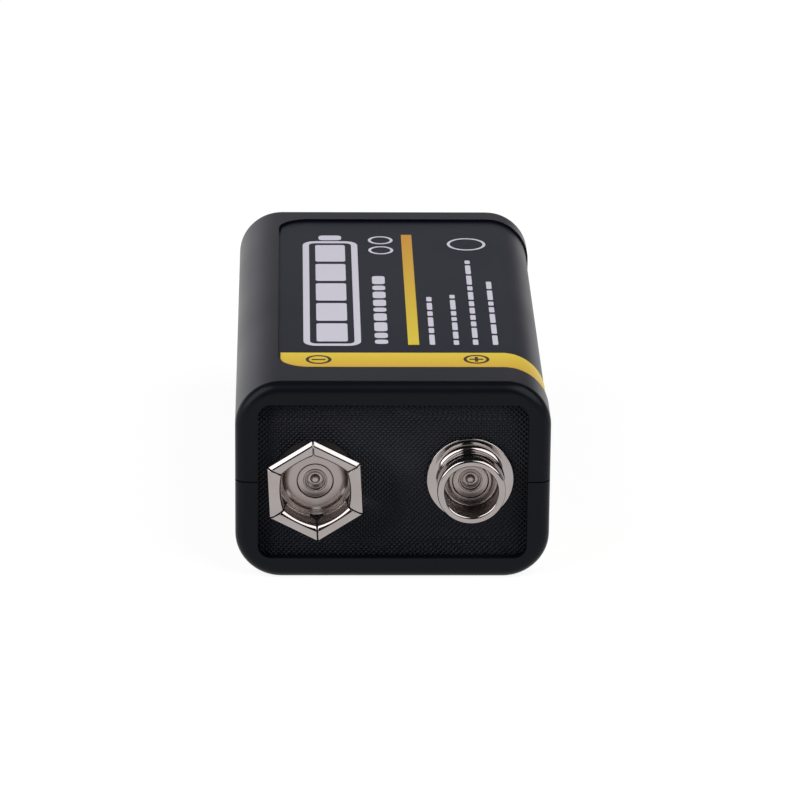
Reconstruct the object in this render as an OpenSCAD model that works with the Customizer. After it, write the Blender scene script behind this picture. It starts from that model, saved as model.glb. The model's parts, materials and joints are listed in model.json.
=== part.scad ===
// Nine volt rechargeable battery with snap terminals, lying on its broad face.
// The pieces are drawn standing on the rear end, with the terminals up, and laid down at the end.

/* [Case] */
// Width of the case across the two terminals
case_w = 25.8; // [24.6:0.1:26.5]
// Thickness of the case, broad face to broad face
case_t = 17.0; // [16.2:0.1:17.5]
// Length of the case, rear face to bezel face
case_l = 46.2; // [45:0.1:47]
// Radius of the four long corners
corner_r = 3.8; // [3.2:0.1:4.5]
// Radius of the edges round both ends
edge_r = 0.9; // [0.5:0.1:1.2]
// Thickness of the side and broad walls
wall = 1.1; // [0.9:0.05:1.3]
// Thickness of the rear wall
end_wall = 1.2; // [1:0.1:1.6]

/* [Shell joint] */
// Thickness of the tongue along the parting line
tongue_w = 0.45; // [0.35:0.05:0.55]
// Height of the tongue above the parting plane
tongue_h = 0.6; // [0.4:0.1:1]
// Clearance of the tongue in its groove
tongue_fit = 0.06; // [0.03:0.01:0.12]
// Width of the fine groove along the parting line, over both shells
seam_w = 0.12; // [0.06:0.02:0.2]
// Depth of that groove
seam_d = 0.12; // [0.06:0.02:0.2]
// Thickness of the ribs that hold the board and stop the cells
rib_t = 1.0; // [0.8:0.1:1.4]
// Reach of those ribs from the side walls
rib_reach = 1.1; // [0.9:0.1:1.3]
// Distance of those ribs from the parting plane
rib_offset = 3.6; // [3:0.1:4.5]
// Play between those ribs and the cells
rib_play = 0.3; // [0.1:0.05:0.5]

/* [Bezel and terminal plate] */
// Width of the bezel's rim at the two sides
rim_side = 1.85; // [1.6:0.05:2.2]
// Width of the bezel's rim along the broad faces
rim_broad = 1.8; // [1.6:0.05:2.2]
// Corner radius of the bezel's opening
opening_r = 1.1; // [0.8:0.1:2]
// Depth of the plate behind the bezel's face
bezel_depth = 0.92; // [0.7:0.02:1.2]
// Thickness of the terminal plate
plate_t = 1.2; // [1:0.1:1.6]
// Clearance of the plate in the shells
plate_fit = 0.1; // [0.05:0.01:0.2]

/* [Label] */
// Depth of the recess that the label lies in
recess_depth = 0.3; // [0.24:0.02:0.4]
// Thickness of the label's film
film_t = 0.12; // [0.08:0.01:0.18]
// Thickness of the printed layers on the film
print_t = 0.04; // [0.03:0.01:0.05]
// Width of the bare strip between the case's left side and the label
label_left = 3.7; // [3.4:0.1:5]
// Distance of the label's front edge from the bezel's face
label_front = 4.45; // [3.5:0.05:6]
// Distance of the label's rear edge from the rear face
label_rear = 3.0; // [2:0.1:5]
// Corner radius of the label
label_r = 2.4; // [1:0.1:3]
// Gap between the label's edge and the edge of its recess
label_gap = 0.2; // [0.1:0.05:0.3]
// Width of the yellow band along the label's front edge
band_w = 3.65; // [2.5:0.05:5]
// Width of the yellow bar down the middle of the label
bar_w = 0.92; // [0.6:0.02:1.5]
// Distance of the bar's centre line right of the case's middle
bar_x = 1.86; // [-2:0.02:3]
// Space between the band and the bar
bar_space = 2.05; // [1:0.05:3]
// Space between the bar's rear end and the label's rear edge
bar_rear = 3.85; // [2:0.05:8]

/* [Terminals] */
// Distance of each terminal's axis from the case's side, which makes the standard spacing of 12.7
terminal_inset = 6.55; // [6:0.05:7]
// Height of each terminal above the plate
terminal_h = 3.2; // [3:0.05:3.4]
// Thickness of the terminals' sheet metal
sheet = 0.28; // [0.24:0.01:0.32]
// Radius of the small bends and broken edges of the sheet
bend_r = 0.1; // [0.06:0.01:0.13]
// Radius of the stud's head
stud_r = 2.79; // [2.7:0.01:2.88]
// Depth of the waist below the stud's head
waist = 0.17; // [0.1:0.01:0.25]
// Length of the stud's head
head_l = 1.6; // [1.2:0.05:1.9]
// Length of the slope from the head to the waist
shoulder_l = 0.35; // [0.2:0.05:0.5]
// Radius of the fillet between the waist and the flange
root_r = 0.25; // [0.1:0.01:0.3]
// Width of the flange past that fillet
flange_w = 0.7; // [0.5:0.05:0.9]
// Width of the stud's rolled rim
roll_w = 0.6; // [0.5:0.02:0.7]
// Length of the roll down the inside of the stud
roll_l = 0.85; // [0.6:0.05:1.1]
// Radius that the stud's rim is rounded by
rim_round = 0.18; // [0.1:0.01:0.24]
// Gap between the stud's wall and the raised ring on its floor
ring_gap = 0.48; // [0.4:0.02:0.6]
// Height of the raised disc and ring above the floors
disc_h = 0.35; // [0.3:0.01:0.45]
// Bore between the socket's spring tongues, as a radius
socket_r = 2.85; // [2.8:0.01:2.9]
// Height of the bore's straight stretch
grip_l = 1.1; // [0.8:0.05:1.3]
// How far the tongues lean in between the foot and the bore
lean = 0.35; // [0.2:0.05:0.5]
// Radius of the roll from the tongues to their lips
lip_roll = 0.45; // [0.4:0.01:0.5]
// Width of the lips' flat faces
lip_flat = 0.56; // [0.45:0.01:0.7]
// Depth of the skirt on each lip
lip_skirt = 0.5; // [0.35:0.05:0.7]
// Width of the slits between the lips
slit_w = 0.13; // [0.1:0.01:0.2]
// Width of the slits at the foot
slit_foot_w = 1.5; // [1:0.1:1.8]
// Turn of the socket away from square, in degrees
socket_turn = 2.8; // [0:0.1:5]
// Gap between the foot's rim and the raised disc on the socket's floor
disc_gap = 0.55; // [0.4:0.05:0.7]

/* [Rivets] */
// Width of the stud's raised ring, which the rivet's head is sunk in
ring_w = 0.36; // [0.3:0.01:0.4]
// Gap round the rivet's head
dish_gap = 0.14; // [0.1:0.01:0.2]
// Thickness of the rivet's head
rivet_head_t = 0.22; // [0.18:0.01:0.28]
// Radius of the rivet's shank
rivet_r = 0.72; // [0.6:0.01:0.85]
// Clearance of the shank in its holes
rivet_fit = 0.06; // [0.03:0.01:0.1]
// Width of the head's flat rim round its dimple
dimple_rim = 0.62; // [0.5:0.01:0.7]
// Depth of the dimple
dimple_h = 0.34; // [0.2:0.01:0.5]
// Radius of the flared tail behind the board
tail_r = 1.25; // [1.1:0.01:1.4]
// Thickness of the flared tail
tail_t = 0.3; // [0.2:0.02:0.4]
// Thickness of the tubular tail's wall
tail_wall = 0.35; // [0.25:0.01:0.4]
// Depth of the tube in the tail
tail_bore = 0.7; // [0.4:0.05:1]

/* [Board] */
// Thickness of the protection board
board_t = 1.0; // [0.8:0.1:1.2]
// Gap between the board's edge and the shells
board_gap = 0.35; // [0.25:0.05:0.5]
// Length of the transistor pack's body
fet_l = 4.4; // [4:0.1:5]
// Width of the transistor pack's body
fet_w = 3.0; // [2.6:0.1:3.4]
// Length of the protection chip's body
ic_l = 2.9; // [2.6:0.1:3.2]
// Width of the protection chip's body
ic_w = 1.6; // [1.4:0.1:1.8]
// Height of both packs above the board
pack_h = 1.0; // [0.8:0.05:1.2]
// Space between the two packs
pack_gap = 0.8; // [0.5:0.1:1.2]
// Distance of the packs' centre line from the board's upper edge
pack_edge = 3.6; // [3:0.1:4.5]
// Gap between a pack's body and the board
pack_standoff = 0.1; // [0.05:0.01:0.2]
// Width of a pack's lead
lead_w = 0.3; // [0.2:0.02:0.36]
// Thickness of a pack's lead
lead_t = 0.15; // [0.1:0.01:0.2]
// Reach of the leads from a pack's body
lead_reach = 0.7; // [0.5:0.05:0.8]
// Length of a lead's foot
lead_foot = 0.4; // [0.3:0.05:0.5]
// Distance between the transistor pack's leads
fet_pitch = 0.85; // [0.7:0.05:1]
// Distance between the protection chip's leads
ic_pitch = 0.95; // [0.8:0.05:1.1]
// Length of a chip resistor or capacitor
chip_l = 1.6; // [1.2:0.1:2]
// Width of a chip resistor or capacitor
chip_w = 0.8; // [0.6:0.1:1]
// Height of a chip resistor
resistor_h = 0.45; // [0.4:0.05:0.6]
// Height of a chip capacitor
capacitor_h = 0.8; // [0.6:0.05:1]
// Length of the plated caps on a chip's ends
chip_cap_l = 0.3; // [0.2:0.05:0.4]
// Thickness of that plating
chip_cap_t = 0.05; // [0.03:0.01:0.08]
// Space between neighbouring chips of a row
chip_gap = 0.6; // [0.4:0.1:1]
// Space between the two rows of chips
row_gap = 0.55; // [0.3:0.05:0.8]
// Distance of the capacitors' centre line from the board's lower edge
row_edge = 1.1; // [0.8:0.1:1.5]

/* [Cells] */
// Gap between the side walls and the cells
cell_gap = 0.5; // [0.3:0.1:0.9]
// Room between the cells' terraces and the board
tab_room = 3.4; // [3:0.1:5]
// Thickness of the foam between the case and each cell
pad_t = 0.7; // [0.5:0.05:1]
// Thickness of the tape between the cells
tape_t = 0.4; // [0.2:0.05:0.8]
// Thickness of the foam at the rear end
end_pad_t = 1.0; // [0.6:0.1:1.5]
// Radius of a pouch's long edges
pouch_r = 1.8; // [1.7:0.1:2.2]
// Radius of a pouch's end edges
pouch_edge_r = 0.8; // [0.5:0.1:0.8]
// Length of the sealed terrace at the front of a pouch
terrace_l = 3.0; // [2:0.1:3.5]
// Thickness of the sealed terrace
terrace_t = 0.3; // [0.2:0.05:0.4]
// Width of a tab
tab_w = 3.0; // [2:0.1:4]
// Thickness of a tab
tab_t = 0.15; // [0.1:0.01:0.2]
// Distance of each tab's middle from its cell's side
tab_inset = 3.4; // [3.4:0.1:4.5]
// Length of the tab's foot on the board
tab_foot = 1.6; // [1:0.1:2]
// Radius inside the bend of a tab
tab_bend = 0.4; // [0.2:0.05:0.6]
// Thickness of the insulating card
card_t = 0.25; // [0.2:0.05:0.4]
// Gap between the card's ends and the ribs
card_gap = 0.2; // [0.1:0.05:0.4]
// Gap between the card's long edges and the broad walls
card_edge = 1.9; // [1:0.1:2.2]
// Gap between each tab and its slot in the card
slot_gap = 0.3; // [0.2:0.05:0.5]
// Gap between the foam at the rear end and the walls
end_pad_gap = 1.0; // [0.5:0.1:1.5]

/* [Hidden] */
$fn = 64;
// Overlap of a cutting shape past the face that it cuts
past = 1;

// Levels along the case's length, from the rear face
plate_z = case_l - bezel_depth;
board_z = plate_z - plate_t;
board_back_z = board_z - board_t;
terrace_top_z = board_back_z - tab_room;
cell_top_z = terrace_top_z - terrace_l;
cell_z = end_wall + end_pad_t;
terminal_x = case_w / 2 - terminal_inset;
// Whole length with the terminals, and the middle that the origin lies under
tip_z = plate_z + terminal_h;
middle_z = tip_z / 2;

cavity_w = case_w - 2 * wall;
cavity_t = case_t - 2 * wall;
cavity_r = corner_r - wall;
cell_w = cavity_w - 2 * cell_gap;
cell_l = cell_top_z - cell_z;
tab_x = cell_w / 2 - tab_inset;
cell_t = (cavity_t - 2 * pad_t - tape_t) / 2;
cell_y = (tape_t + cell_t) / 2;
pad_w = cavity_w - 2 * cavity_r;
label_x = -case_w / 2 + label_left;
label_top_z = case_l - label_front;
stud_hollow_r = stud_r - roll_w;
neck_r = stud_r - waist;
flange_r = neck_r + root_r + flange_w;
stud_disc_r = neck_r - sheet - ring_gap;
dish_r = stud_disc_r - ring_w;
rivet_head_r = dish_r - dish_gap;
dimple_r = rivet_head_r - dimple_rim;
foot_h = sheet + bend_r;
foot_r = socket_r + sheet + lean;
socket_disc_r = foot_r - sheet - disc_gap;
socket_af = 2 * (socket_r + lip_roll + lip_flat);
board_half_t = cavity_t / 2 - board_gap;

colour_case = [0.1, 0.1, 0.11];
colour_plate = [0.06, 0.06, 0.07];
colour_label = [0.16, 0.16, 0.19];
colour_yellow = [0.83, 0.68, 0.2];
colour_nickel = [0.72, 0.7, 0.68];
colour_board = [0.05, 0.3, 0.15];
colour_pack = [0.08, 0.08, 0.08];
colour_capacitor = [0.6, 0.45, 0.3];
colour_card = [0.85, 0.82, 0.7];
colour_pouch = [0.78, 0.79, 0.8];
colour_foam = [0.25, 0.25, 0.27];

// Points of an arc in the order of growing or falling angle
function arc(cx, cy, r, from, to, steps = 6) =
    [for (i = [0:steps]) let (a = from + (to - from) * i / steps) [cx + r * cos(a), cy + r * sin(a)]];

// Rectangle with round corners, centred
module round_rect(w, h, r) {
    square([w - 2 * r, h], center = true);
    square([w, h - 2 * r], center = true);
    for (x = [-1, 1], y = [-1, 1])
        translate([x * (w / 2 - r), y * (h / 2 - r)]) circle(r);
}

// Upright bar with a round rectangle for its section
module bar(w, t, r, z0, z1) {
    translate([0, 0, z0]) linear_extrude(z1 - z0) round_rect(w, t, r);
}

// Bar whose end edges are rounded as well, by tori at the corners and fillets between them
module rounded_bar(w, t, l, r, edge) {
    translate([0, 0, l / 2]) {
        rotate([90, 0, 90]) linear_extrude(w - 2 * r, center = true) round_rect(t, l, edge);
        rotate([90, 0, 0]) linear_extrude(t - 2 * r, center = true) round_rect(w, l, edge);
        for (x = [-1, 1], y = [-1, 1])
            translate([x * (w / 2 - r), y * (t / 2 - r), 0]) rotate_extrude() intersection() {
                round_rect(2 * r, l, edge);
                translate([0, -l / 2]) square([r, l]);
            }
    }
}

// Thin skin of the case between two depths under its outer face
module skin(outer, inner, z0, z1) {
    difference() {
        bar(case_w - 2 * outer, case_t - 2 * outer, corner_r - outer, z0, z1);
        bar(case_w - 2 * inner, case_t - 2 * inner, corner_r - inner, z0 - past, z1 + past);
    }
}

// Prism across the case's thickness that has the label's outline, grown by a margin
module label_prism(grow, z0 = label_rear, z1 = label_top_z) {
    w = case_w;
    rotate([90, 0, 0]) linear_extrude(case_t + 2 * past, center = true)
        translate([label_x - grow + w / 2 + grow, (z0 + z1) / 2])
            round_rect(w + 2 * grow, z1 - z0 + 2 * grow, label_r + grow);
}

module label_recess() {
    intersection() {
        skin(-past, recess_depth, label_rear - past, label_top_z + past);
        label_prism(label_gap);
    }
}

// Tongue of the parting joint round the cavity, or its groove when grown by the clearance
module parting_tongue(grow) {
    back = end_wall - tongue_w - grow;
    rotate([-90, 0, 0]) translate([0, 0, -tongue_h]) linear_extrude(2 * tongue_h + grow) difference() {
        outer_w = cavity_w + 2 * tongue_w + 2 * grow;
        translate([-outer_w / 2, -board_z - grow]) square([outer_w, board_z + grow - back]);
        inner_w = cavity_w - 2 * grow;
        translate([-inner_w / 2, -board_z - past]) square([inner_w, board_z + past - end_wall - grow]);
    }
}

// Fine groove round the outside along the parting plane
module seam_groove() {
    difference() {
        translate([-case_w, -seam_w / 2, -past]) cube([2 * case_w, seam_w, case_l + 2 * past]);
        translate([0, 0, seam_d])
            rounded_bar(case_w - 2 * seam_d, case_t - 2 * seam_d, case_l - 2 * seam_d, corner_r - seam_d, edge_r);
    }
}

// Ribs on the side walls of one shell: they back the board and stop the cells
module side_ribs(side) {
    rib_z0 = cell_top_z + rib_play;
    root = wall / 2;
    for (x = [-1, 1])
        translate([x * (cavity_w / 2 - rib_reach / 2 + root / 2), side * rib_offset, (rib_z0 + board_back_z) / 2])
            cube([rib_reach + root, rib_t, board_back_z - rib_z0], center = true);
}

// Half of the housing, on the side of the parting plane that side names
module half_housing(side) {
    difference() {
        intersection() {
            rounded_bar(case_w, case_t, case_l, corner_r, edge_r);
            translate([-case_w, side > 0 ? 0 : -case_t, -past]) cube([2 * case_w, case_t, case_l + 2 * past]);
        }
        bar(cavity_w, cavity_t, cavity_r, end_wall, plate_z);
        bar(case_w - 2 * rim_side, case_t - 2 * rim_broad, opening_r, plate_z - past, case_l + past);
        label_recess();
        seam_groove();
    }
    side_ribs(side);
}

module lower_shell() {
    color(colour_case) {
        half_housing(-1);
        parting_tongue(0);
    }
}

module upper_shell() {
    color(colour_case) difference() {
        half_housing(1);
        parting_tongue(tongue_fit);
    }
}

// Plate behind the bezel's rim, with a hole for each rivet
module terminal_plate() {
    color(colour_plate) difference() {
        bar(cavity_w - 2 * plate_fit, cavity_t - 2 * plate_fit, cavity_r - plate_fit, board_z, plate_z);
        for (x = [-1, 1])
            translate([x * terminal_x, 0, board_z - past]) cylinder(r = rivet_r + rivet_fit, h = plate_t + 2 * past);
    }
}

// Points of a list in the opposite order
function backwards(points) = [for (i = [len(points) - 1:-1:0]) points[i]];

// Section of a terminal's floor: hollow for the rivet's head, raised disc and flat foot
function floor_top(disc_r) = concat(
    [[rivet_r + rivet_fit, sheet], [dish_r - bend_r / 2, sheet], [dish_r, sheet + bend_r / 2]],
    [[dish_r, sheet + disc_h - bend_r / 2], [dish_r + bend_r / 2, sheet + disc_h]],
    arc(disc_r - bend_r, sheet + disc_h - bend_r, bend_r, 90, 0, 3),
    [[disc_r + bend_r / 2, sheet]]
);

// Round snap stud: flange, waisted wall and a rim rolled inwards
module positive_stud() {
    head_z = terminal_h - head_l;
    neck_top = head_z - shoulder_l;
    hollow_r = neck_r - sheet;
    roll_z = terminal_h - roll_l;
    color(colour_nickel) translate([terminal_x, 0, plate_z]) rotate_extrude() polygon(concat(
        [[rivet_r + rivet_fit, 0], [flange_r - bend_r, 0], [flange_r, bend_r]],
        arc(flange_r - bend_r, sheet - bend_r, bend_r, 0, 90, 3),
        arc(neck_r + root_r, sheet + root_r, root_r, 270, 180),
        [[neck_r, neck_top], [stud_r, head_z]],
        arc(stud_r - rim_round, terminal_h - rim_round, rim_round, 0, 90),
        arc(stud_hollow_r + rim_round, terminal_h - rim_round, rim_round, 90, 180),
        [[stud_hollow_r, roll_z + bend_r], [stud_hollow_r + bend_r, roll_z], [stud_r - sheet, roll_z]],
        [[stud_r - sheet, head_z], [hollow_r, neck_top]],
        arc(hollow_r - bend_r, sheet + bend_r, bend_r, 0, -90, 3),
        backwards(floor_top(stud_disc_r))
    ));
}

// Foot of the socket: a rimmed dish that carries the raised disc
module socket_foot() {
    rotate_extrude() polygon(concat(
        [[rivet_r + rivet_fit, 0], [foot_r - bend_r, 0], [foot_r, bend_r], [foot_r, foot_h], [foot_r - sheet, foot_h]],
        backwards(floor_top(socket_disc_r))
    ));
}

// Wall of the tongues as one ring: it leans in to the bore and rolls out to the lip
module tongue_ring() {
    roll_z = terminal_h - lip_roll;
    grip_z = roll_z - grip_l;
    reach = socket_af / 2 / cos(30);
    step = sheet / 8;
    root_r = foot_r - step;
    inner_r = foot_r - sheet + step;
    rotate_extrude() polygon(concat(
        [[inner_r, foot_h / 2], [root_r, foot_h / 2], [root_r, foot_h], [socket_r + sheet, grip_z]],
        arc(socket_r + lip_roll, roll_z, lip_roll - sheet, 180, 90, 4),
        [[reach, terminal_h - sheet], [reach, terminal_h]],
        arc(socket_r + lip_roll, roll_z, lip_roll, 90, 180, 6),
        [[socket_r, grip_z], [inner_r, foot_h]]
    ));
}

// Rounded edge and skirt along one flat of the hexagon of lips
module lip_edge() {
    lap = sheet / 2;
    translate([socket_af / 2, 0, terminal_h]) rotate([90, 0, 0]) linear_extrude(socket_af, center = true)
        polygon(concat(
            arc(-sheet, -sheet, sheet, 0, 90),
            [[-sheet - lap, 0], [-sheet - lap, -sheet], [-sheet, -sheet], [-sheet, -lip_skirt], [0, -lip_skirt]]
        ));
}

// Prism that one tongue fills: a sixth of a turn, less half a slit on each side
module tongue_prism(reach) {
    far_y = (reach - slit_w) * tan(30);
    linear_extrude(terminal_h + past) polygon([[slit_w, 0], [reach, -far_y], [reach, far_y]]);
}

// Spring tongue: a sector of the ring, its lip's edge, and slits that widen towards the foot
module spring_tongue() {
    narrow_z = terminal_h - lip_roll - grip_l / 2;
    difference() {
        union() {
            intersection() {
                tongue_ring();
                tongue_prism(socket_af / 2 - sheet);
            }
            intersection() {
                lip_edge();
                tongue_prism(socket_af);
            }
        }
        for (side = [-1, 1])
            rotate([90, 0, 90 + 30 * side]) linear_extrude(socket_af)
                polygon([[-slit_foot_w / 2, 0], [slit_foot_w / 2, 0], [slit_w / 2, narrow_z], [-slit_w / 2, narrow_z]]);
    }
}

// Hexagonal snap socket: six spring tongues with rolled lips on a round foot
module negative_socket() {
    color(colour_nickel) translate([-terminal_x, 0, plate_z]) rotate([0, 0, socket_turn]) {
        socket_foot();
        for (i = [0:5]) rotate([0, 0, 60 * i]) spring_tongue();
    }
}

// Rivet: dimpled head in the terminal's floor, shank through plate and board, flared tail
module rivet(x) {
    head_z = plate_z + sheet;
    grip = sheet + plate_t + board_t;
    color(colour_nickel) translate([x, 0, head_z]) rotate_extrude() polygon([
        [0, rivet_head_t - dimple_h],
        [dimple_r - 3 * bend_r, rivet_head_t - dimple_h],
        [dimple_r - 2 * bend_r, rivet_head_t - dimple_h + bend_r / 2],
        [dimple_r - bend_r / 2, rivet_head_t - bend_r / 2],
        [dimple_r + bend_r / 2, rivet_head_t],
        [rivet_head_r - bend_r / 2, rivet_head_t],
        [rivet_head_r, rivet_head_t - bend_r / 2],
        [rivet_head_r, 0],
        [rivet_r, 0],
        [rivet_r, -grip],
        [tail_r, -grip],
        [tail_r - bend_r, -grip - tail_t],
        [rivet_r - tail_wall, -grip - tail_t],
        [rivet_r - tail_wall, -grip - tail_t + tail_bore],
        [0, -grip - tail_t + tail_bore]
    ]);
}

// Film round the top, the right side and the underside, in the shells' recess
module label_film() {
    color(colour_label) intersection() {
        skin(recess_depth - film_t, recess_depth, label_rear - past, label_top_z + past);
        label_prism(0);
    }
}

// Yellow print along the film's front edge
module label_band() {
    face = recess_depth - film_t;
    color(colour_yellow) intersection() {
        skin(face - print_t, face, label_top_z - band_w, label_top_z);
        label_prism(0);
    }
}

// Yellow bar printed on the upper face of the film
module label_bar() {
    face = case_t / 2 - recess_depth + film_t;
    bar_z = label_rear + bar_rear;
    bar_l = label_top_z - band_w - bar_space - bar_z;
    color(colour_yellow) translate([bar_x - bar_w / 2, face, bar_z]) cube([bar_w, print_t, bar_l]);
}

module protection_board() {
    inset = 2 * board_gap;
    color(colour_board) difference() {
        bar(cavity_w - inset, cavity_t - inset, cavity_r - board_gap, board_back_z, board_z);
        for (x = [-1, 1])
            translate([x * terminal_x, 0, board_back_z - past])
                cylinder(r = rivet_r + rivet_fit, h = board_t + 2 * past);
    }
}

// Moulded chip pack with gull-wing leads on its two long sides, hung under the board
module chip_pack(x, l, w, leads, pitch) {
    knee = pack_h / 2 + lead_t / 2;
    elbow = lead_reach - lead_foot;
    translate([x, board_half_t - pack_edge, board_back_z]) {
        translate([-l / 2, -w / 2, -pack_h]) cube([l, w, pack_h - pack_standoff]);
        for (side = [-1, 1], i = [0:leads - 1])
            translate([(i - (leads - 1) / 2) * pitch - lead_w / 2, 0, 0])
                rotate([90, 0, 90]) linear_extrude(lead_w) polygon([
                    [side * w / 2, -knee], [side * (w / 2 + elbow), -knee], [side * (w / 2 + elbow), -lead_t],
                    [side * (w / 2 + lead_reach), -lead_t], [side * (w / 2 + lead_reach), 0],
                    [side * (w / 2 + elbow - lead_t), 0], [side * (w / 2 + elbow - lead_t), -knee + lead_t],
                    [side * w / 2, -knee + lead_t]
                ]);
    }
}

module transistor_pack() {
    color(colour_pack) chip_pack((-pack_gap - ic_l) / 2, fet_l, fet_w, 4, fet_pitch);
}

module protection_chip() {
    color(colour_pack) chip_pack((pack_gap + fet_l) / 2, ic_l, ic_w, 3, ic_pitch);
}

// Chip resistor or capacitor: block with a plated cap at each end, in a row of three
module chip(i, y, h) {
    translate([(i - 2) * (chip_l + chip_gap), y, board_back_z]) {
        translate([-chip_l / 2, -chip_w / 2, -h]) cube([chip_l, chip_w, h]);
        for (x = [-chip_l / 2, chip_l / 2 - chip_cap_l])
            translate([x, -chip_w / 2 - chip_cap_t, -h - chip_cap_t])
                cube([chip_cap_l, chip_w + 2 * chip_cap_t, h + chip_cap_t]);
    }
}

module resistor(i) {
    color(colour_pack) chip(i, -board_half_t + row_edge + chip_w + row_gap, resistor_h);
}

module capacitor(i) {
    color(colour_capacitor) chip(i, -board_half_t + row_edge, capacitor_h);
}

// Pouch cell: soft-edged body, sealed terrace in front, folded seals along the sides
module pouch_cell(side) {
    color(colour_pouch) translate([0, side * cell_y, cell_z]) {
        rounded_bar(cell_w, cell_t, cell_l, pouch_r, pouch_edge_r);
        translate([0, 0, cell_l - past]) linear_extrude(terrace_l + past)
            round_rect(cell_w - 2 * pouch_r, terrace_t, terrace_t / 4);
    }
}

// Tab from a pouch's terrace to the board, bent over at its end
module cell_tab(side, x) {
    rise = board_back_z - terrace_top_z;
    color(colour_nickel) mirror([0, side < 0 ? 1 : 0, 0]) translate([x - tab_w / 2, cell_y, terrace_top_z])
        rotate([90, 0, 90]) linear_extrude(tab_w) polygon(concat(
            [[-tab_t / 2, 0], [tab_t / 2, 0]],
            arc(tab_t / 2 + tab_bend, rise - tab_t - tab_bend, tab_bend, 180, 90, 4),
            [[tab_foot, rise - tab_t], [tab_foot, rise]],
            arc(tab_t / 2 + tab_bend, rise - tab_t - tab_bend, tab_bend + tab_t, 90, 180, 4)
        ));
}

// Card over the terraces, with a slot for each tab
module insulating_card() {
    card_w = cavity_w - 2 * rib_reach - 2 * card_gap;
    color(colour_card) translate([0, 0, terrace_top_z]) difference() {
        linear_extrude(card_t) round_rect(card_w, cavity_t - 2 * card_edge, pouch_r);
        for (x = [-1, 1], y = [-1, 1])
            translate([x * tab_x, y * cell_y, 0])
                cube([tab_w + 2 * slot_gap, tab_t + 2 * slot_gap, 3 * card_t], center = true);
    }
}

module foam(side) {
    color(colour_foam) translate([-pad_w / 2, side * (cavity_t - pad_t) / 2 - pad_t / 2, cell_z])
        cube([pad_w, pad_t, cell_l]);
}

module cell_tape() {
    color(colour_foam) translate([-cell_w / 2 + pouch_r, -tape_t / 2, cell_z + pouch_edge_r])
        cube([cell_w - 2 * pouch_r, tape_t, cell_l - 2 * pouch_edge_r]);
}

module end_pad() {
    w = cavity_w - 2 * end_pad_gap;
    color(colour_foam) bar(w, cavity_t - 2 * end_pad_gap, cavity_r - end_pad_gap, end_wall, end_wall + end_pad_t);
}

// Turns the standing battery onto its broad face, with the terminals forwards
module laid_down() {
    translate([0, middle_z, case_t / 2]) rotate([90, 0, 0]) children();
}

laid_down() lower_shell();
laid_down() upper_shell();
laid_down() terminal_plate();
laid_down() negative_socket();
laid_down() positive_stud();
laid_down() rivet(-terminal_x);  // negative_rivet
laid_down() rivet(terminal_x);  // positive_rivet
laid_down() label_film();
laid_down() label_band();
laid_down() label_bar();
laid_down() protection_board();
laid_down() transistor_pack();
laid_down() protection_chip();
for (i = [1:3]) {
    laid_down() resistor(i);
    laid_down() capacitor(i);
}
laid_down() pouch_cell(1);  // upper_cell
laid_down() pouch_cell(-1);  // lower_cell
laid_down() cell_tab(1, tab_x);  // upper_cell_positive_tab
laid_down() cell_tab(1, -tab_x);  // upper_cell_negative_tab
laid_down() cell_tab(-1, -tab_x);  // lower_cell_positive_tab
laid_down() cell_tab(-1, tab_x);  // lower_cell_negative_tab
laid_down() insulating_card();
laid_down() foam(1);  // upper_pad
laid_down() foam(-1);  // lower_pad
laid_down() cell_tape();
laid_down() end_pad();
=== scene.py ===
import json
import math

import bmesh
import bpy
import numpy as np
from mathutils import Matrix, Vector


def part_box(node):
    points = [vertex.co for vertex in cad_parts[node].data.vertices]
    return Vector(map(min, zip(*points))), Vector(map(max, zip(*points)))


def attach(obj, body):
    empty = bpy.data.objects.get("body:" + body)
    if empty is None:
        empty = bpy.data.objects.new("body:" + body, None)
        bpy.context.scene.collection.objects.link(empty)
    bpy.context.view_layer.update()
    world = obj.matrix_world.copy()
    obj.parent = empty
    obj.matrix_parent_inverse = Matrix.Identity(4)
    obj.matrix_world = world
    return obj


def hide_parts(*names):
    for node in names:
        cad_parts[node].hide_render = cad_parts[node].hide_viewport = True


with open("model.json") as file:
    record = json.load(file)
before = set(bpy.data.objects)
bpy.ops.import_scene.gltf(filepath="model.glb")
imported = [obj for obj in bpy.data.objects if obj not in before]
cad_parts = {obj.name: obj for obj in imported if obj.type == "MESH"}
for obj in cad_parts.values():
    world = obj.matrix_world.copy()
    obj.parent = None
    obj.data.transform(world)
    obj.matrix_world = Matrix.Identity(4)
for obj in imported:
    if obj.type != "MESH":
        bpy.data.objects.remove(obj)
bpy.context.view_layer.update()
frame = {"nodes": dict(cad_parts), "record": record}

# A rechargeable nine volt battery lies on its broad face, with the terminals towards the camera.
# X runs to the right, Y from the terminals to the rear end, Z up from the floor, in metres.
nodes = frame["nodes"]
MM = 0.001

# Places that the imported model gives
RIM_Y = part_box("lower_shell")[0][1]
PLATE_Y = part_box("terminal_plate")[0][1]
FILM_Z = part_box("label_film")[1][2]
BAND_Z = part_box("label_band")[1][2]
STUD = (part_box("positive_stud")[0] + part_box("positive_stud")[1]) / 2
SOCKET = (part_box("negative_rivet")[0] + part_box("negative_rivet")[1]) / 2


# Materials

def new_material(name):
    """An empty material, its node tree and its output node."""
    mat = bpy.data.materials.new(name)
    mat.use_nodes = True
    tree = mat.node_tree
    tree.nodes.clear()
    out = tree.nodes.new("ShaderNodeOutputMaterial")
    return mat, tree, out


def add(tree, kind, **inputs):
    """A node of that kind, with values set on its sockets by name."""
    node = tree.nodes.new("ShaderNode" + kind)
    for key, value in inputs.items():
        node.inputs[key.replace("_", " ")].default_value = value
    return node


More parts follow.
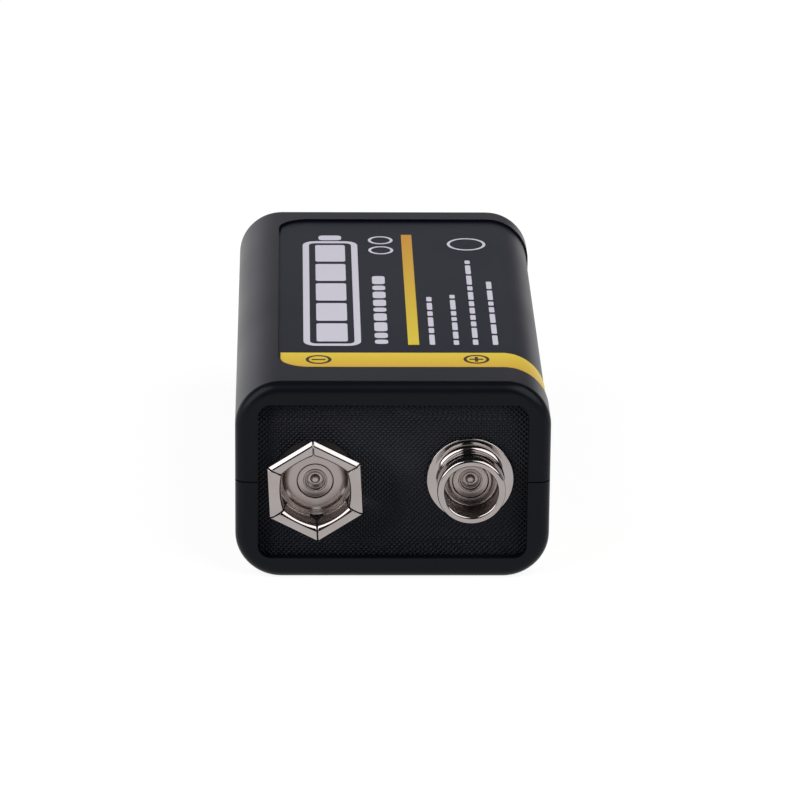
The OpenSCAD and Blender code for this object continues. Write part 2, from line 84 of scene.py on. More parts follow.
def principled(tree, out, **inputs):
    """The surface shader, wired to the output."""
    shader = add(tree, "BsdfPrincipled", **inputs)
    tree.links.new(shader.outputs["BSDF"], out.inputs["Surface"])
    return shader


def object_noise(tree, scale, detail=3.0, roughness=0.5):
    """Noise in the object's own coordinates, with scale in features a metre."""
    coord = add(tree, "TexCoord")
    noise = add(tree, "TexNoise", Scale=scale, Detail=detail, Roughness=roughness)
    tree.links.new(coord.outputs["Object"], noise.inputs["Vector"])
    return noise


def rescale(tree, socket, low, high, start=0.0, stop=1.0):
    """A value that runs from low to high while its input runs from start to stop."""
    node = add(tree, "MapRange", From_Min=start, From_Max=stop, To_Min=low, To_Max=high)
    tree.links.new(socket, node.inputs["Value"])
    return node.outputs["Result"]


def combine(tree, operation, first, second):
    """The result of a maths operation on two sockets."""
    node = tree.nodes.new("ShaderNodeMath")
    node.operation = operation
    tree.links.new(first, node.inputs[0])
    tree.links.new(second, node.inputs[1])
    return node.outputs[0]


def colour_ramp(tree, socket, first, second, start=0.0, stop=1.0):
    """A colour that runs from the first to the second while its input runs from start to stop."""
    node = tree.nodes.new("ShaderNodeValToRGB")
    low, high = node.color_ramp.elements
    low.position, high.position = start, stop
    low.color, high.color = (*first, 1), (*second, 1)
    tree.links.new(socket, node.inputs["Fac"])
    return node.outputs["Color"]


def axes(tree, coordinates):
    """X, Y and Z of one kind of texture coordinates."""
    split = add(tree, "SeparateXYZ")
    tree.links.new(add(tree, "TexCoord").outputs[coordinates], split.inputs["Vector"])
    return split.outputs


def bump(tree, shader, socket, distance):
    """Bump of that height in metres on the shader's normal."""
    node = add(tree, "Bump", Strength=1.0, Distance=distance)
    tree.links.new(socket, node.inputs["Height"])
    tree.links.new(node.outputs["Normal"], shader.inputs["Normal"])


def moulded_plastic(name, colour, rough, specular, grain=9000.0, depth=4e-6):
    """Satin moulded plastic: an even spark-eroded grain, and slow changes in its sheen."""
    mat, tree, out = new_material(name)
    shader = principled(tree, out, Base_Color=(*colour, 1), Specular_IOR_Level=specular)
    sheen_scale, spread = 90.0, 0.05
    sheen = object_noise(tree, sheen_scale, 2.0).outputs["Fac"]
    tree.links.new(rescale(tree, sheen, rough - spread, rough + spread), shader.inputs["Roughness"])
    fine = object_noise(tree, grain, 2.0, 0.6)
    bump(tree, shader, fine.outputs["Fac"], depth)
    return mat


def inside_terminals(tree, inner_r):
    """1 inside a terminal's hollow and 0 at its wall and lips, in the objects' coordinates.

    It fades over a short way past inner_r from the axis, and again below the lips. Where it is 1,
    the nickel takes painted shade and a rougher finish.
    """
    x, y, z = axes(tree, "Object")
    side = tree.nodes.new("ShaderNodeMath")
    side.operation = "ABSOLUTE"
    tree.links.new(x, side.inputs[0])
    flat = tree.nodes.new("ShaderNodeCombineXYZ")
    tree.links.new(side.outputs[0], flat.inputs["X"])
    tree.links.new(z, flat.inputs["Z"])
    away = tree.nodes.new("ShaderNodeVectorMath")
    away.operation = "DISTANCE"
    away.inputs[1].default_value = (STUD[0], 0, STUD[2])
    tree.links.new(flat.outputs["Vector"], away.inputs[0])
    # Below the second height over the plate the painted shade and rougher finish are full; above
    # the third they are gone.
    fade, shade_and_dull_h, unshaded_h = 0.15 * MM, 2.5 * MM, 2.8 * MM
    near = rescale(tree, away.outputs["Value"], 1.0, 0.0, inner_r, inner_r + fade)
    deep = rescale(tree, y, 0.0, 1.0, PLATE_Y - unshaded_h, PLATE_Y - shade_and_dull_h)
    return combine(tree, "MULTIPLY", near, deep)


def nickel_plate(name, inner_r):
    """Bright nickel on drawn steel: patches of a warmer tone, faint mottling and drawing marks.

    The terminals' hollows are rougher than their walls and lips, and carry painted shade: a darker,
    browner colour.
    """
    mat, tree, out = new_material(name)
    shader = principled(tree, out, Metallic=1.0)
    inside = inside_terminals(tree, inner_r)
    patch_scale, mottle_scale, mark_scale, mark_depth = 420.0, 900.0, 2500.0, 0.2e-6
    # The third colour is painted shade: darker and browner nickel for the hollows.
    bright, worn, painted_hollow_shade = (0.375, 0.345, 0.34), (0.35, 0.315, 0.30), (0.36, 0.315, 0.30, 1)
    polish, dullness = (0.045, 0.1125), 0.24
    patches = object_noise(tree, patch_scale, 3.0, 0.6).outputs["Fac"]
    tone_and_shade = tree.nodes.new("ShaderNodeMix")
    tone_and_shade.data_type = "RGBA"
    factor, first, second, mixed = tone_and_shade.inputs[0], tone_and_shade.inputs[6], tone_and_shade.inputs[7], tone_and_shade.outputs[2]
    # The hollows' mask mixes the painted shade in over the random patches.
    tree.links.new(inside, factor)
    tree.links.new(colour_ramp(tree, patches, bright, worn, 0.35, 0.7), first)
    second.default_value = painted_hollow_shade
    tree.links.new(mixed, shader.inputs["Base Color"])
    mottle = object_noise(tree, mottle_scale, 4.0, 0.6).outputs["Fac"]
    rough = combine(
        tree, "ADD", rescale(tree, mottle, *polish), rescale(tree, inside, 0.0, dullness))
    tree.links.new(rough, shader.inputs["Roughness"])
    bump(tree, shader, object_noise(tree, mark_scale, 3.0, 0.7).outputs["Fac"], mark_depth)
    return mat


def printed_fade(name, y_front, y_back, front, back, rough=0.42):
    """Print that fades along Y from one colour to another, on the film's surface."""
    mat, tree, out = new_material(name)
    shader = principled(tree, out, Roughness=rough, Specular_IOR_Level=0.35)
    share = rescale(tree, axes(tree, "Object")["Y"], 0.0, 1.0, y_front, y_back)
    tree.links.new(colour_ramp(tree, share, front, back), shader.inputs["Base Color"])
    bump(tree, shader, object_noise(tree, 5000.0).outputs["Fac"], 1.5e-6)
    return mat


def plain_finish(name, colour, rough, metallic=0.0, grain=3000.0, depth=4e-6):
    """A quiet finish for the pieces inside: one colour with a fine grain and an uneven gloss."""
    mat, tree, out = new_material(name)
    shader = principled(tree, out, Base_Color=(*colour, 1), Metallic=metallic)
    noise = object_noise(tree, grain).outputs["Fac"]
    spread = 0.08
    tree.links.new(rescale(tree, noise, rough - spread, rough + spread), shader.inputs["Roughness"])
    bump(tree, shader, noise, depth)
    return mat


case_plastic = moulded_plastic("case_plastic", (0.0028, 0.0036, 0.0064), 0.33, 0.115)
plate_plastic = moulded_plastic("plate_plastic", (0.0058, 0.0064, 0.0105), 0.30, 0.13)
film = moulded_plastic("film", (0.008, 0.0083, 0.0155), 0.34, 0.06, grain=6000.0, depth=2e-6)
nickel = nickel_plate("nickel", 2.30 * MM)
socket_nickel = nickel_plate("socket_nickel", 3.50 * MM)
band_low, band_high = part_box("label_band")
band_print = printed_fade(
    "band_print", band_low[1], band_high[1], (0.66, 0.385, 0.026), (0.755, 0.57, 0.030))
bar_low, bar_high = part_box("label_bar")
bar_print = printed_fade(
    "bar_print", bar_low[1], bar_high[1], (0.72, 0.555, 0.028), (0.585, 0.275, 0.018))
INK = {"rough": 0.45, "specular": 0.3, "grain": 5000.0, "depth": 1.5e-6}
pale_print = moulded_plastic("pale_print", (0.62, 0.60, 0.68), **INK)
brown_print = moulded_plastic("brown_print", (0.03, 0.019, 0.008), **INK)

board_green = plain_finish("board_green", (0.02, 0.16, 0.07), 0.35)
pack_black = plain_finish("pack_black", (0.02, 0.02, 0.02), 0.5)
capacitor_tan = plain_finish("capacitor_tan", (0.42, 0.28, 0.16), 0.5)
pouch_silver = plain_finish("pouch_silver", (0.7, 0.71, 0.73), 0.35, 1.0)
tab_nickel = plain_finish("tab_nickel", (0.62, 0.6, 0.57), 0.3, 1.0)
card_buff = plain_finish("card_buff", (0.6, 0.55, 0.4), 0.75)
foam_grey = plain_finish("foam_grey", (0.06, 0.06, 0.065), 0.85, 0.0, 2500.0, 6e-5)

FINISH_OF_SLOT = {
    "case_black": case_plastic,
    "plate_black": plate_plastic,
    "nickel": nickel,
    "label_film": film,
    "print_yellow": band_print,
    "board_green": board_green,
    "pack_black": pack_black,
    "capacitor_tan": capacitor_tan,
    "pouch_silver": pouch_silver,
    "tab_nickel": tab_nickel,
    "card": card_buff,
    "foam_grey": foam_grey,
}


def dress_nodes():
    """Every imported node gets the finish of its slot."""
    for part in frame["record"]["subparts"]:
        node = nodes[part["node"]]
        finish = FINISH_OF_SLOT[part["material_slot"]]
        node.data.materials.clear()
        node.data.materials.append(bar_print if part["node"] == "label_bar" else finish)


# Meshes

def mesh_piece(name, verts, faces, finish, smooth=True):
    """A closed mesh from whole arrays of points and faces, riding on the battery."""
    mesh = bpy.data.meshes.new(name)
    mesh.from_pydata(verts.tolist(), [], [tuple(f) for f in faces])
    mesh.validate()
    shape = bmesh.new()
    shape.from_mesh(mesh)
    bmesh.ops.recalc_face_normals(shape, faces=shape.faces)
    shape.to_mesh(mesh)
    shape.free()
    mesh.polygons.foreach_set("use_smooth", np.full(len(mesh.polygons), smooth))
    mesh.materials.append(finish)
    piece = bpy.data.objects.new(name, mesh)
    bpy.context.scene.collection.objects.link(piece)
    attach(piece, "root")
    return piece


def grid_faces(rows, columns, wrap_rows=False, wrap_columns=False):
    """Quads of a grid of points, joined to the start along the rows or the columns where asked."""
    r = np.arange(rows if wrap_rows else rows - 1)[:, None]
    c = np.arange(columns if wrap_columns else columns - 1)[None, :]
    below, right = (r + 1) % rows, (c + 1) % columns
    quads = [r * columns + c, r * columns + right, below * columns + right, below * columns + c]
    return np.stack(quads, axis=-1).reshape(-1, 4)


def bend(r, h, radius, start, stop, steps=8, squash=1.0):
    """Arc of a profile about (r, h) in millimetres, between two angles in degrees.

    Its height over h is the circle's times squash, which makes it part of an ellipse.
    """
    a = np.radians(np.linspace(start, stop, steps + 1))
    return np.stack([r + radius * np.cos(a), h + squash * radius * np.sin(a)], axis=-1)


def held(loop, hold=0.01):
    """A profile with points close to both ends of each long stretch, which keep flats flat."""
    ahead = np.roll(loop, -1, axis=0) - loop
    length = np.linalg.norm(ahead, axis=1)
    long = length > 4 * hold
    share = np.where(long, hold / np.maximum(length, hold), 0)
    shares = np.stack([np.zeros_like(share), share, 1 - share], axis=-1)
    points = loop[:, None, :] + shares[:, :, None] * ahead[:, None, :]
    keep = np.stack([np.ones_like(long), long, long], axis=-1)
    return points[keep]


def turned(profile, axis, turns=160):
    """Points and faces of a profile of (r, h) in millimetres turned about a terminal's axis.

    At angle a, x = axis x + r cos a, z = axis z + r sin a, and y = the plate's face - h. A profile
    from the axis to the axis ends in two points there, and any other is a closed loop.
    """
    loop = held(profile)
    solid = profile[0, 0] == 0
    if solid:
        loop = loop[:int(np.flatnonzero((loop == profile[-1]).all(axis=1))[-1]) + 1]
    rows = (loop[1:-1] if solid else loop) * MM
    a = np.linspace(0, 2 * np.pi, turns, endpoint=False)
    r, h = rows[:, :1], rows[:, 1:]
    x, z = axis[0] + r * np.cos(a), axis[2] + r * np.sin(a)
    verts = np.stack([x, PLATE_Y - h + 0 * a, z], axis=-1).reshape(-1, 3)
    faces = [*map(tuple, grid_faces(len(rows), turns, not solid, True).tolist())]
    if solid:
        ends = np.array([[axis[0], PLATE_Y - loop[i, 1] * MM, axis[2]] for i in (0, -1)])
        ring = np.arange(turns)
        for pole, first in ((len(verts), 0), (len(verts) + 1, (len(rows) - 1) * turns)):
            fan = np.stack([first + ring, first + np.roll(ring, -1), np.full(turns, pole)], axis=-1)
            faces += map(tuple, fan.tolist())
        verts = np.concatenate([verts, ends])
    return verts, faces


# Millimetres that several metal pieces share: sheet thickness, height over the plate and rivet hole
SHEET, TERMINAL_H, HOLE_R = 0.28, 3.2, 0.78


def floor_profile(disc_r, shoulder):
    """A terminal's floor from the outside inwards: raised disc with a soft shoulder, and a dish."""
    dish_r, disc_h, root, edge = 1.5, 0.35, 0.06, 0.05
    return np.concatenate([
        bend(disc_r + root, SHEET + root, root, 270, 180, 4),
        bend(disc_r - shoulder, SHEET + root, shoulder, 0, 90, 14, (disc_h - root) / shoulder),
        bend(dish_r + edge, SHEET + disc_h - edge, edge, 90, 180, 6),
        bend(dish_r - edge, SHEET + edge, edge, 0, -90, 4),
        [[HOLE_R, SHEET]],
    ])


def snap_stud():
    """Round stud: flange, waisted wall, rim rolled inwards, and a raised ring on its floor.

    The waist's radius runs from the neck's to the head's along half a cosine wave, and so does
    the cup's from the rim down.
    """
    neck_r, head_r, cup_r = 2.62, 2.79, 2.19
    flange_r, root, outer, inner = 3.57, 0.48, 0.25, 0.20
    swell = np.linspace(0, 1, 13)
    wave = (1 - np.cos(np.pi * swell)) / 2
    waist_h, waist_l, cup_h, cup_l, cup_swell = 1.15, 0.55, 2.9, 1.3, 0.12
    waist = np.stack([neck_r + (head_r - neck_r) * wave, waist_h + waist_l * swell], axis=-1)
    cup = np.stack([cup_r + cup_swell * wave, cup_h - cup_l * swell], axis=-1)
    profile = np.concatenate([
        [[HOLE_R, 0.0]],
        bend(flange_r - 0.08, 0.08, 0.08, -90, 0, 4),
        bend(flange_r - 0.1, SHEET - 0.1, 0.1, 0, 90, 6),
        bend(neck_r + root, SHEET + root, root, 270, 180, 20),
        waist,
        bend(head_r - outer, TERMINAL_H - outer, outer, 0, 90, 12),
        bend(cup_r + inner, TERMINAL_H - inner, inner, 90, 180, 10),
        cup,
        bend(cup_r - 0.08, SHEET + 0.2, 0.2, 0, -90, 8),
        floor_profile(1.84, 0.16),
    ])
    verts, faces = turned(profile, STUD)
    stud = mesh_piece("snap_stud", verts, faces, nickel)
    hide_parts("positive_stud")


def rivet(name, axis, replaced):
    """Tubular rivet: a dished head with a bead round its hollow, a boss in it, shank and tail.

    The boss is a parabola, its slope half a cosine wave, the hollow's wall a quarter of an
    ellipse, and the dish nearly flat.
    """
    boss_r, boss_h, hollow_r, hollow_h = 0.22, 0.36, 0.42, 0.06
    bead_r, bead_h, bead, head_r, edge = 0.90, 0.42, 0.08, 1.43, 0.03
    shank_r, shank_end, tail_r, tail_h, bore_r, bore_h = 0.72, -2.2, 1.2, -2.5, 0.37, -1.8
    share = np.linspace(0, 1, 9)
    turn = np.pi / 2 * share
    boss = np.stack([boss_r * share, boss_h - 0.02 * share ** 2], axis=-1)
    slope = np.stack([
        boss_r + (hollow_r - boss_r) * share,
        hollow_h + 0.14 * (1 + np.cos(np.pi * share)),
    ], axis=-1)
    wall = np.stack([
        hollow_r + (bead_r - bead - hollow_r) * np.sin(turn),
        bead_h - (bead_h - hollow_h) * np.cos(turn),
    ], axis=-1)
    dish = np.stack([1.0 + 0.38 * share, 0.46 + 0.09 * share ** 1.3], axis=-1)
    profile = np.concatenate([
        boss,
        slope[1:],
        wall[1:],
        bend(bead_r, bead_h, bead, 180, 50, 8)[1:],
        dish,
        bend(head_r - edge, 0.53, edge, 90, 0, 3),
        [[head_r, SHEET], [shank_r, SHEET], [shank_r, shank_end]],
        bend(tail_r, -2.25, 0.05, 90, 0, 3),
        [[1.15, tail_h], [bore_r, tail_h], [bore_r, bore_h], [0.0, bore_h]],
    ])
    verts, faces = turned(profile, axis, 96)
    piece = mesh_piece(name, verts, faces, nickel)
    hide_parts(replaced)


def tongue_points(turn):
    """One spring tongue of the socket, as a grid of points: round the sheet by across the tongue.

    The sheet's middle line climbs from the foot, leans in to the bore, rolls outwards to the lip
    and turns down in a skirt. A point lies at that line plus half the sheet's thickness along a
    unit direction that goes up one side, round the skirt's end and down the other side. Across
    the tongue the line keeps to a circle at the foot and to a flat of the hexagon at the lip:
    with p its distance and a the angle, x = p((1 - w) cos a + w) and z = p((1 - w) sin a + w tan a)
    for a weight w from 0 to 1. The thickness falls to nothing along the slits as a half round.
    """
    half, lift, root, roll = SHEET / 2, 0.006, 0.24, 0.22
    rows, foot_slit, lip_slit, slit_h = 110, 1.2, 0.11, 2.2
    border, thinnest = 0.045, 0.03
    line = np.concatenate([
        [[2.90, half + lift]],
        bend(3.10, root + half + lift, root, 270, 360, 8),  # up from the foot
        bend(3.17, 2.00, roll, 192, 180, 3),  # upright at the bore
        bend(3.17, 2.84, roll, 180, 90, 12),  # rolled outwards
        bend(3.36, 2.86, 0.20, 90, 50, 6),  # down the lip
        bend(3.591, 2.823, 0.08, 50, 0, 6),  # and its skirt
        [[3.671, 2.80]],
    ])
    run = np.concatenate([[0], np.cumsum(np.linalg.norm(np.diff(line, axis=0), axis=1))])
    at = np.linspace(0, run[-1], rows)
    line = np.stack([np.interp(at, run, line[:, 0]), np.interp(at, run, line[:, 1])], axis=-1)
    along = np.gradient(line, axis=0)
    along /= np.linalg.norm(along, axis=1)[:, None]
    side = np.stack([along[:, 1], -along[:, 0]], axis=-1)
    hexagon = np.interp(line[:, 1] + line[:, 0], [3.72, 4.95, 5.79, 6.23], [0, 0.35, 0.5, 1.0])
    turn_back = np.radians(np.linspace(90, -90, 9))[1:-1]
    end_side = np.cos(turn_back)[:, None] * along[-1] + np.sin(turn_back)[:, None] * side[-1]
    middle = np.concatenate([line, np.repeat(line[-1:], len(end_side), axis=0), line[::-1]])
    away = np.concatenate([side, end_side, -side[::-1]])
    weight = np.concatenate([hexagon, np.ones(len(end_side)), hexagon[::-1]])[:, None]

    edge = 1 - border * (1 - np.sin(np.linspace(0, np.pi / 2, 6)))
    across = np.concatenate([-edge[::-1], np.linspace(-edge[0], edge[0], 21)[1:-1], edge])
    slit = np.interp(middle[:, 1], [0, slit_h], [foot_slit, lip_slit])[:, None]
    reach = middle[:, :1] * (1 - weight + weight / math.cos(math.pi / 6))
    widest = math.pi / 6 - slit / 2 / reach
    inset = np.minimum((1 - np.abs(across)) * widest * reach / (half / 2), 1)
    thick = half * np.maximum((1 - (1 - inset) ** 4) ** 0.25, thinnest)
    p = middle[:, :1] + thick * away[:, :1]
    h = middle[:, 1:] + thick * away[:, 1:]
    a = across * widest
    x = p * ((1 - weight) * np.cos(a) + weight)
    z = p * ((1 - weight) * np.sin(a) + weight * np.tan(a))
    c, s = math.cos(turn), math.sin(turn)
    turned_x, turned_z = x * c - z * s, x * s + z * c
    return np.stack(
        [SOCKET[0] + turned_x * MM, PLATE_Y - h * MM, SOCKET[2] + turned_z * MM], axis=-1)


def snap_socket():
    """Hexagonal socket: six spring tongues on a rimmed foot with a raised disc."""
    foot_r, edge, first_turn = 3.10, 0.08, 2.8
    foot = np.concatenate([
        [[HOLE_R, 0.0]],
        bend(foot_r - edge, edge, edge, -90, 0, 4),
        bend(foot_r - edge, SHEET - edge, edge, 0, 90, 4),
        floor_profile(2.65, 0.60),
    ])
    verts, faces = turned(foot, SOCKET)
    points, quads = [verts], faces
    for i in range(6):
        grid = tongue_points(math.radians(first_turn + 60 * i))
        rows, columns = grid.shape[:2]
        start = sum(map(len, points))
        shell = start + grid_faces(rows, columns, wrap_rows=True)
        down = np.arange(rows // 2)
        up = rows - 1 - down
        for column in (0, columns - 1):
            strip = np.stack([down[:-1], down[1:], up[1:], up[:-1]], axis=-1)
            strip = strip * columns + column + start
            quads += map(tuple, strip.tolist())
        quads += map(tuple, shell.tolist())
        points.append(grid.reshape(-1, 3))
    socket = mesh_piece("snap_socket", np.concatenate(points), quads, socket_nickel)
    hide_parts("negative_socket")


def diamond_plate():
    """Terminal plate with a diamond relief on its face.

    A point (u, v) of the grid goes to x = u times the rounded rectangle's half width at that
    height, z = v times its half height. The face sinks by the relief's depth times the larger of
    two triangle waves, from 0 to 1, that run along the two diagonals: it's made of low pyramids.
    """
    low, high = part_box("terminal_plate")
    half_w, half_h = (high[0] - low[0]) / 2, (high[2] - low[2]) / 2
    corner, pitch, depth = 2.6 * MM, 0.30 * MM, 0.10 * MM
    period = pitch * math.sqrt(2)
    step = period / 6
    nx, nz = int(2 * half_w / step) | 1, int(2 * half_h / step) | 1
    u, v = np.meshgrid(np.linspace(-1, 1, nx), np.linspace(-1, 1, nz))
    z = v * half_h
    into = np.clip(np.abs(z) - (half_h - corner), 0, corner)
    x = u * (half_w - corner + np.sqrt(np.maximum(corner ** 2 - into ** 2, 0)))
    across = np.stack([x + z, x - z]) / period % 1
    y = low[1] + depth * np.abs(2 * across - 1).max(axis=0)
    y[(np.abs(u) == 1) | (np.abs(v) == 1)] = low[1] + depth
    centre = (low[2] + high[2]) / 2
    front = np.stack([x, y, z + centre], axis=-1).reshape(-1, 3)
    rim = np.concatenate([
        np.arange(nx), np.arange(1, nz) * nx + nx - 1,
        (nz - 1) * nx + np.arange(nx - 2, -1, -1), np.arange(nz - 2, 0, -1) * nx,
    ])
    behind = front[rim].copy()
    behind[:, 1] = high[1]
    verts = np.concatenate([front, behind, [[0, high[1], centre]]])
    ring = len(front) + np.arange(len(rim))
    wall = np.stack([rim, ring, np.roll(ring, -1), np.roll(rim, -1)], axis=-1)
    cap = np.stack([ring, np.full(len(rim), len(verts) - 1), np.roll(ring, -1)], axis=-1)
    faces = [*grid_faces(nz, nx).tolist(), *wall.tolist(), *cap.tolist()]
    plate = mesh_piece(
        "terminal_plate_face", verts, faces, plate_plastic, smooth=False)
    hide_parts("terminal_plate")


def flat_print(name, outlines, level, finish, thickness=0.01 * MM):
    """Thin raised print: each outline in X and Y, extruded up from the level.

    An outline is a closed loop of points, counterclockwise. A loop given as a pair is a band
    between an outer and an inner loop that have as many points.
    """
    verts, faces = [], []
    for outline in outlines:
        start = len(verts)
        if isinstance(outline, tuple):
            outer, inner = outline
            n = len(outer)
            for loop in (outer, inner):
                for z in (level, level + thickness):
                    verts += [(x, y, z) for x, y in loop]
            ob, ot, ib, it = (start + k * n for k in range(4))
            for i in range(n):
                j = (i + 1) % n
                faces += [(ot + i, ot + j, it + j, it + i), (ob + j, ob + i, ib + i, ib + j)]
                faces += [(ob + i, ob + j, ot + j, ot + i), (ib + j, ib + i, it + i, it + j)]
        else:
            n = len(outline)
            for z in (level, level + thickness):
                verts += [(x, y, z) for x, y in outline]
            faces.append(tuple(start + n + i for i in range(n)))
            faces.append(tuple(start + i for i in range(n - 1, -1, -1)))
            bottom, top = start, start + n
            faces += [
                (bottom + i, bottom + (i + 1) % n, top + (i + 1) % n, top + i) for i in range(n)]
    return mesh_piece(name, np.array(verts), faces, finish, smooth=False)


def circle(x, y, r, n=64):
    """Points of a circle, counterclockwise."""
    a = np.linspace(0, 2 * np.pi, n, endpoint=False)
    return np.stack([x + r * np.cos(a), y + r * np.sin(a)], axis=-1)


def block(x0, x1, y0, y1, r=0.0, n=6):
    """Points of a rectangle with round corners, counterclockwise."""
    if r <= 0:
        return np.array([(x0, y0), (x1, y0), (x1, y1), (x0, y1)])
    loops = []
    low, high = (x0 + r, y0 + r), (x1 - r, y1 - r)
    corners = ((high[0], low[1], -90), (*high, 0), (low[0], high[1], 90), (*low, 180))
    for cx, cy, start in corners:
        a = np.radians(np.linspace(start, start + 90, n))
        loops.append(np.stack([cx + r * np.cos(a), cy + r * np.sin(a)], axis=-1))
    return np.concatenate(loops)


def from_rim(x, y):
    """A place on the label, given in millimetres from the middle and from the bezel's face."""
    return x * MM, RIM_Y + y * MM


def polarity_marks():
    """Minus and plus on the band, each in a ring."""
    ring_r, line, arm = 1.07 * MM, 0.26 * MM, 0.57 * MM
    loops = []
    for x, y, plus in ((-6.07, 6.40, False), (6.94, 6.51, True)):
        cx, cy = from_rim(x, y)
        loops.append((circle(cx, cy, ring_r), circle(cx, cy, ring_r - line)))
        half = line / 2
        if plus:
            loops.append(block(cx - arm, cx - half, cy - half, cy + half))
            loops.append(block(cx + half, cx + arm, cy - half, cy + half))
            loops.append(block(cx - half, cx + half, cy - arm, cy + arm))
        else:
            loops.append(block(cx - arm, cx + arm, cy - half, cy + half))
    flat_print("polarity_marks", loops, BAND_Z, brown_print)


def dash_row(x0, x1, y0, y1, seed):
    """A row of plain rounded dashes between two distances from the rim, in millimetres."""
    random = np.random.default_rng(seed)
    gap, least, shortest, longest, r = 0.42, 0.6, 0.9, 2.6, (x1 - x0) * 0.3
    loops, y = [], y0
    while y < y1 - least:
        end = min(y + random.uniform(shortest, longest), y1)
        low, high = from_rim(x0, y), from_rim(x1, end)
        loops.append(block(low[0], high[0], low[1], high[1], r * MM))
        y = end + gap
    return loops


def plain_print():
    """Plain shapes on the film: a charge gauge with its blocks, rows of dashes and three rings."""
    def field(x0, x1, y0, y1, r):
        low, high = from_rim(x0, y0), from_rim(x1, y1)
        return block(low[0], high[0], low[1], high[1], r * MM)

    def ring(x, y, r, line=0.25):
        place = from_rim(x, y)
        return circle(*place, r * MM), circle(*place, (r - line) * MM)

    frame_line = (field(-7.3, -2.5, 9.9, 37.6, 1.1), field(-6.75, -3.05, 10.45, 37.05, 0.55))
    nub = field(-5.9, -3.9, 37.9, 39.2, 0.4)
    blocks = [field(-6.2, -3.6, y, y + 4.55, 0.25) for y in np.linspace(11.0, 31.95, 5)]
    loops = [frame_line, nub, *blocks, *dash_row(-1.35, -0.25, 10.4, 28.9, 3)]
    loops += [ring(-0.45, 35.1, 1.1), ring(-0.45, 37.9, 1.1)]
    for i, (x, end) in enumerate(((3.2, 23.0), (5.2, 23.0), (6.8, 32.8), (8.45, 26.8))):
        loops += dash_row(x, x + 0.45, 10.2, end, 10 + i)
    loops.append(ring(7.1, 36.8, 1.7))
    flat_print("plain_print", loops, FILM_Z, pale_print)


# Scene

def camera():
    """The photograph's viewpoint: a long lens in front of the terminals, a little above them."""
    yaw, pitch, roll = 0.0243, 0.3503, 0.0096
    distance, focal_px = 0.40242, 4954.75
    picture_px, sensor = 800, 36.0
    target = Vector((0.5129 * MM, RIM_Y, 15.66 * MM))
    level = math.cos(pitch)
    forward = Vector((math.sin(yaw) * level, math.cos(yaw) * level, -math.sin(pitch)))
    right = Vector((math.cos(yaw), -math.sin(yaw), 0))
    up = right.cross(forward)
    tilted = math.cos(roll) * right + math.sin(roll) * up
    upright = math.cos(roll) * up - math.sin(roll) * right
    data = bpy.data.cameras.new("camera")
    data.lens = focal_px / picture_px * sensor
    data.sensor_width = sensor
    data.clip_start, data.clip_end = 0.01, 20
    cam = bpy.data.objects.new("camera", data)
    turn = Matrix((tilted, upright, -forward)).transposed().to_4x4()
    cam.matrix_world = Matrix.Translation(target - distance * forward) @ turn
    bpy.context.scene.collection.objects.link(cam)
    bpy.context.scene.camera = cam


def softbox(name, place, aim, width, height, power):
    """A rectangular lamp at a place, turned to its aim, with its power in watts."""
    data = bpy.data.lights.new(name, "AREA")
    data.shape = "RECTANGLE"
    data.size, data.size_y = width, height
    data.energy = power
    lamp = bpy.data.objects.new(name, data)
    lamp.location = place
    lamp.rotation_euler = (Vector(aim) - Vector(place)).to_track_quat("-Z", "Y").to_euler()
    bpy.context.scene.collection.objects.link(lamp)


def by_ray(tree, out, diffuse, direct):
    """One shader for diffuse light, and another for what the camera, gloss and glass see."""
    rays = add(tree, "LightPath").outputs
    seen = combine(tree, "MAXIMUM", rays["Is Camera Ray"], rays["Is Glossy Ray"])
    seen = combine(tree, "MAXIMUM", seen, rays["Is Transmission Ray"])
    mix = add(tree, "MixShader")
    tree.links.new(seen, mix.inputs["Fac"])
    tree.links.new(diffuse.outputs[0], mix.inputs[1])
    tree.links.new(direct.outputs[0], mix.inputs[2])
    tree.links.new(mix.outputs[0], out.inputs["Surface"])


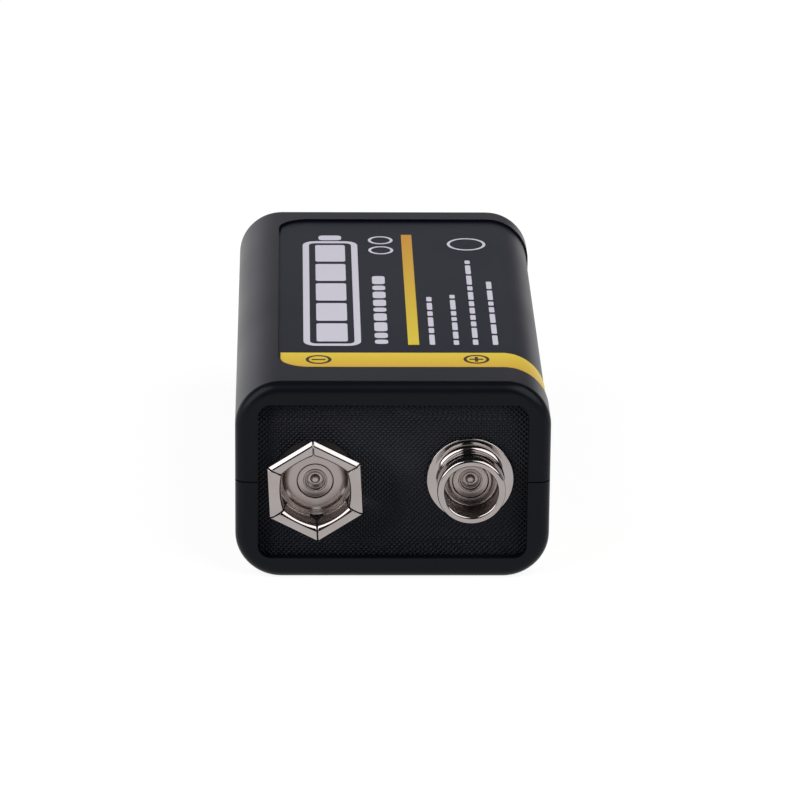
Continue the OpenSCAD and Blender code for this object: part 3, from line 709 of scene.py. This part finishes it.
def studio_world(ambient):
    """A studio, white at the back and left, and dark above, in front and at the right.

    Diffuse light is plain white, at the ambient strength.
    """
    world = bpy.data.worlds.new("studio")
    bpy.context.scene.world = world
    world.use_nodes = True
    tree = world.node_tree
    tree.nodes.clear()
    out = tree.nodes.new("ShaderNodeOutputWorld")
    x, y, z = axes(tree, "Generated")
    white, dark = (0.90, 0.89, 1.0), (0.06, 0.06, 0.065)
    back = rescale(tree, y, 0.06, 1.13, -0.8, -0.3)
    left = rescale(tree, x, 1.0, 0.3, 0.1, 0.3)
    backdrop = add(tree, "Background")
    tree.links.new(colour_ramp(tree, z, white, dark, 0.12, 0.44), backdrop.inputs["Color"])
    tree.links.new(combine(tree, "MULTIPLY", back, left), backdrop.inputs["Strength"])
    plain = add(tree, "Background", Color=(1, 1, 1, 1), Strength=ambient)
    by_ray(tree, out, plain, backdrop)


def studio_floor():
    """White floor that still takes a faint shadow: most of its white is its own."""
    mat, tree, out = new_material("floor_white")
    paint = add(tree, "BsdfDiffuse", Color=(0.8, 0.8, 0.8, 1))
    faint = add(tree, "BsdfDiffuse", Color=(0.15, 0.15, 0.15, 1))
    glow = add(tree, "Emission", Color=(1, 1, 1, 1), Strength=0.9)
    bright = add(tree, "AddShader")
    tree.links.new(faint.outputs[0], bright.inputs[0])
    tree.links.new(glow.outputs[0], bright.inputs[1])
    by_ray(tree, out, paint, bright)
    reach = 3.0
    corners = [(-reach, -reach, 0), (reach, -reach, 0), (reach, reach, 0), (-reach, reach, 0)]
    mesh = bpy.data.meshes.new("floor")
    mesh.from_pydata(corners, [], [(0, 1, 2, 3)])
    mesh.materials.append(mat)
    floor = bpy.data.objects.new("floor", mesh)
    bpy.context.scene.collection.objects.link(floor)


dress_nodes()
diamond_plate()
snap_stud()
rivet("stud_rivet", STUD, "positive_rivet")
snap_socket()
rivet("socket_rivet", SOCKET, "negative_rivet")
polarity_marks()
plain_print()

camera()
bpy.context.scene.view_settings.view_transform = "Standard"
studio_world(0.1)
studio_floor()
aim = (0, 0, 0.01)
softbox("softbox_left", (-0.42, -0.22, 0.37), aim, width=0.44, height=0.60, power=2.8)
softbox("softbox_right", (0.37, -0.22, 0.42), aim, width=0.58, height=0.60, power=3.2)
